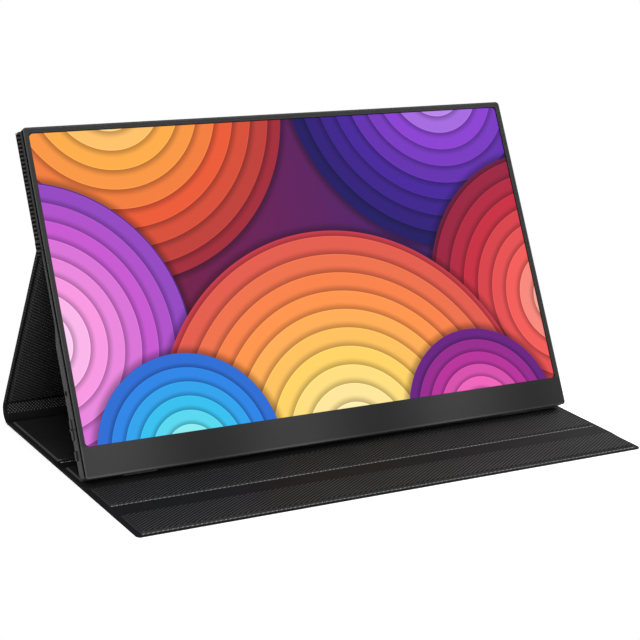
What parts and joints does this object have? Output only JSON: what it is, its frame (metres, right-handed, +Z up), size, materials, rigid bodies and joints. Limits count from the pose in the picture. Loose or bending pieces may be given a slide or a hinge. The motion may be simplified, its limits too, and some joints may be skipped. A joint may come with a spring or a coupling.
{
  "type": "portable monitor",
  "caption": "Slim flat-panel portable monitor with a stepped back, standing in its own folding leather-look cover: a bent leg behind and hinged flaps lying flat in front.",
  "frame": {"origin": "on the desk, under the middle of the whole thing's box", "axes": "+X along the width, to the right as one looks at the screen; +Y from the flaps to the leg behind; +Z up"},
  "size_m": [0.3556, 0.2113, 0.1971],
  "materials": {
    "frame_plastic": "fine satin grain, dark grey",
    "housing_plastic": "fine satin grain, dark grey",
    "seal_foam": "matt black foam",
    "screen_glass": "smooth polariser over a lit picture of warm and cool colours",
    "film": "milky film",
    "light_guide_acrylic": "clear acrylic",
    "reflector_white": "white film",
    "lamp_strip": "lamps on a pale strip",
    "tray_steel": "pressed steel",
    "circuit_board": "green solder mask",
    "flex_film": "amber film",
    "chip_plastic": "black moulded chips and sockets",
    "switch_metal": "pressed metal",
    "key_plastic": "satin dark grey",
    "jack_plastic": "black moulded body",
    "socket_steel": "plated steel shell",
    "speaker_black": "black basket and cone",
    "lead_insulation": "insulated twin lead",
    "screw_steel": "plated steel",
    "foot_rubber": "matt grey-black",
    "panel_skin": "black synthetic leather with a ribbed weave",
    "fold_skin": "black synthetic leather, smooth in the folds",
    "board_core": "dense grey board",
    "magnet_nickel": "nickel-plated magnet"
  },
  "bodies": {
    "base": {"desk_panel_cover": "panel_skin", "desk_panel_board": "board_core", "fold_strip_1": "fold_skin", "spine_strip": "fold_skin"},
    "leg": {"leg_panel_cover": "panel_skin", "leg_panel_board": "board_core", "top_fold_strip": "fold_skin"},
    "display": {"front_frame": "frame_plastic", "gap_seal": "seal_foam", "rear_housing": "housing_plastic", "lcd_glass": "screen_glass", "optical_films": "film", "light_guide": "light_guide_acrylic", "reflector_sheet": "reflector_white", "led_bar": "lamp_strip", "lcd_tray": "tray_steel", "panel_driver_board": "circuit_board", "panel_flexes": "flex_film", "main_board": "circuit_board", "board_parts": "chip_plastic", "key_board": "circuit_board", "key_switches": "switch_metal", "headphone_jack": "jack_plastic", "usb_c_port_1": "socket_steel", "usb_c_port_2": "socket_steel", "mini_hdmi_port": "socket_steel", "speaker_left": "speaker_black", "speaker_right": "speaker_black", "speaker_leads": "lead_insulation", "display_cable": "flex_film", "key_cable": "flex_film", "board_screws": "screw_steel", "bottom_feet": "foot_rubber", "upper_panel_cover": "panel_skin", "upper_panel_board": "board_core", "holding_magnets": "magnet_nickel"},
    "flap_b": {"flap_b_cover": "panel_skin", "flap_b_board": "board_core", "fold_strip_2": "fold_skin"},
    "flap_c": {"flap_c_cover": "panel_skin", "flap_c_board": "board_core", "fold_strip_3": "fold_skin"},
    "flap_d": {"flap_d_cover": "panel_skin", "flap_d_board": "board_core"},
    "power_button": {"power_button": "key_plastic"},
    "menu_rocker": {"menu_rocker": "key_plastic"}
  },
  "joints": [
    {"name": "leg_fold", "type": "hinge", "parent": "base", "child": "leg", "pos_m": [0, 0.10365, 0.00473], "axis": [-1, 0, 0], "range_deg": [0, 95], "deforming": ["spine_strip"]},
    {"name": "screen_fold", "type": "hinge", "parent": "leg", "child": "display", "pos_m": [0, 0.04577, 0.1275], "axis": [-1, 0, 0], "range_deg": [0, 90], "deforming": ["top_fold_strip"]},
    {"name": "flap_fold_1", "type": "hinge", "parent": "base", "child": "flap_b", "pos_m": [0, 0.0128, 0.0008], "axis": [-1, 0, 0], "range_deg": [-90, 0], "deforming": ["fold_strip_1"]},
    {"name": "flap_fold_2", "type": "hinge", "parent": "flap_b", "child": "flap_c", "pos_m": [0, -0.03065, 0.0008], "axis": [-1, 0, 0], "range_deg": [0, 95], "deforming": ["fold_strip_2"]},
    {"name": "flap_fold_3", "type": "hinge", "parent": "flap_c", "child": "flap_d", "pos_m": [0, -0.06775, 0.0008], "axis": [-1, 0, 0], "range_deg": [0, 145], "deforming": ["fold_strip_3"]},
    {"name": "power_press", "type": "slide", "parent": "display", "child": "power_button", "axis": [1, 0, 0], "range_m": [0, 0.0005], "stiffness_N_per_m": 800, "springref_m": -0.0005},
    {"name": "rocker_tip", "type": "hinge", "parent": "display", "child": "menu_rocker", "pos_m": [-0.17298, -0.00646, 0.03024], "axis": [0, 0.8819, -0.4715], "range_deg": [-4, 4], "stiffness_Nm_per_rad": 0.05}
  ]
}
